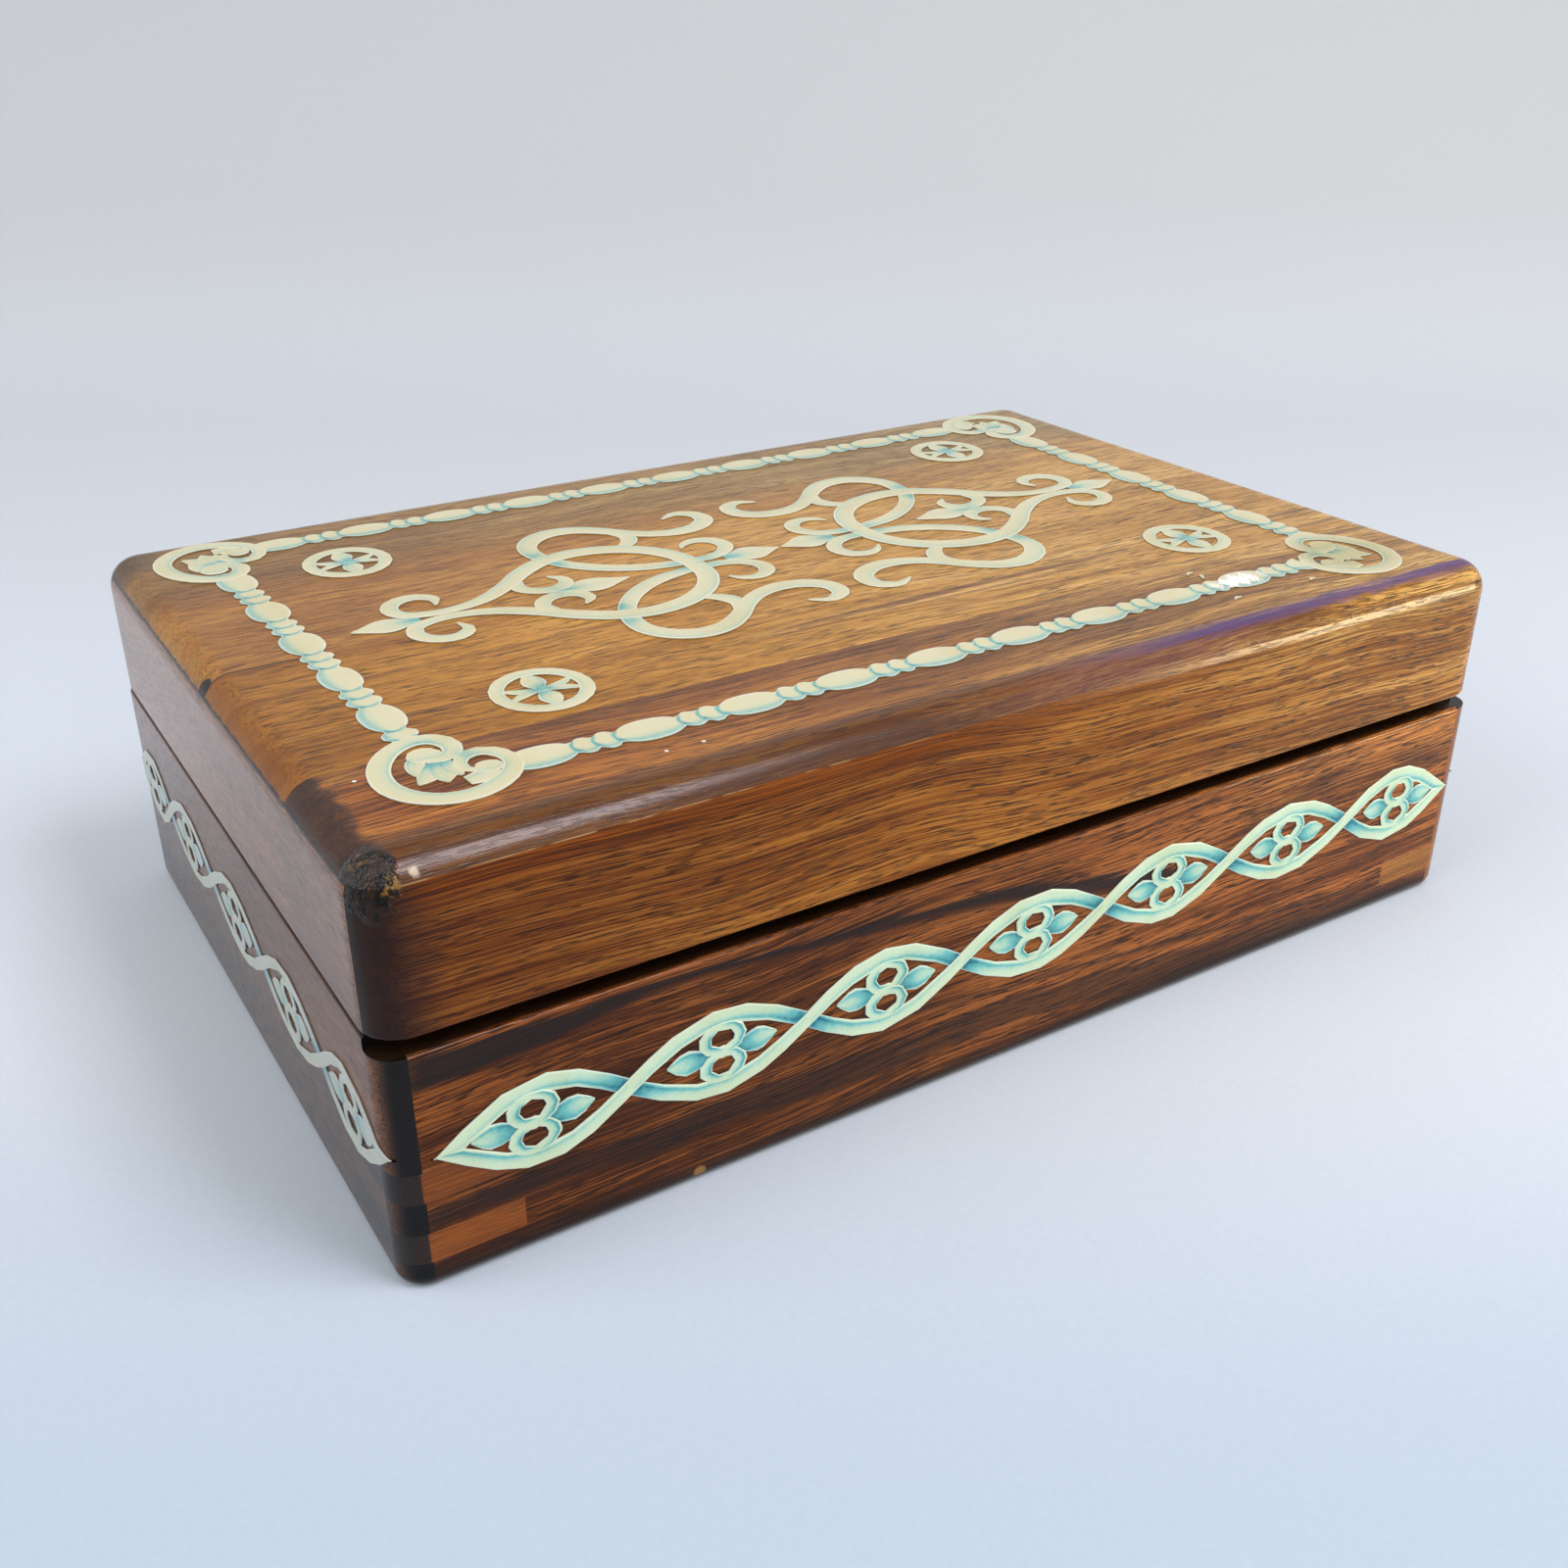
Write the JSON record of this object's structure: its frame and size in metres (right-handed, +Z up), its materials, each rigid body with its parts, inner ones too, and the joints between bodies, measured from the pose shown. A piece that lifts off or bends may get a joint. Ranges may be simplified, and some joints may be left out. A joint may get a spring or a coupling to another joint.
{
  "type": "inlaid wooden box",
  "caption": "Low rectangular hinged wooden box with rounded edges, a finger gap under the lid front, and cream and blue scroll, bead and ribbon ornament.",
  "frame": {"origin": "middle of the flat underside", "axes": "+X along the front to the right, +Y to the hinged back, +Z up"},
  "size_m": [0.2006, 0.1364, 0.0627],
  "materials": {
    "front_wood": "dark streaked rosewood colour, gloss varnish",
    "base_wood": "dark brown, gloss varnish",
    "bottom_wood": "plain brown, unvarnished",
    "key_wood": "light orange brown, gloss varnish",
    "lid_wood": "red brown, gloss varnish",
    "top_wood": "warm brown with fine dark grain, gloss varnish",
    "dark_top_wood": "darker brown with straight grain, gloss varnish",
    "paper_ornament": "cream with pale blue shading, under varnish",
    "hinge_brass": "dull brass",
    "screw_brass": "dull brass"
  },
  "bodies": {
    "base": {"base_front_board": "front_wood", "base_back_board": "base_wood", "base_left_board": "base_wood", "base_right_board": "base_wood", "base_bottom_panel": "bottom_wood", "base_corner_keys": "key_wood", "ribbon_front": "paper_ornament", "ribbon_back": "paper_ornament", "ribbon_left": "paper_ornament", "ribbon_right": "paper_ornament", "hinge_left_base_leaf": "hinge_brass", "hinge_right_base_leaf": "hinge_brass", "hinge_left_pin": "hinge_brass", "hinge_right_pin": "hinge_brass", "hinge_base_screws": "screw_brass"},
    "lid": {"lid_front_board": "lid_wood", "lid_back_board": "lid_wood", "lid_left_board": "lid_wood", "lid_right_board": "lid_wood", "lid_top_front_plank": "dark_top_wood", "lid_top_middle_plank": "top_wood", "lid_top_back_plank": "top_wood", "scroll_left": "paper_ornament", "scroll_right": "paper_ornament", "star_medallions": "paper_ornament", "corner_scrolls": "paper_ornament", "bead_border_front": "paper_ornament", "bead_border_back": "paper_ornament", "bead_border_left": "paper_ornament", "bead_border_right": "paper_ornament", "hinge_left_lid_leaf": "hinge_brass", "hinge_right_lid_leaf": "hinge_brass", "hinge_lid_screws": "screw_brass"}
  },
  "joints": [
    {"name": "lid_hinge", "type": "hinge", "parent": "base", "child": "lid", "pos_m": [0, 0.06825, 0.0384], "axis": [-1, 0, 0], "range_deg": [0, 180]}
  ]
}
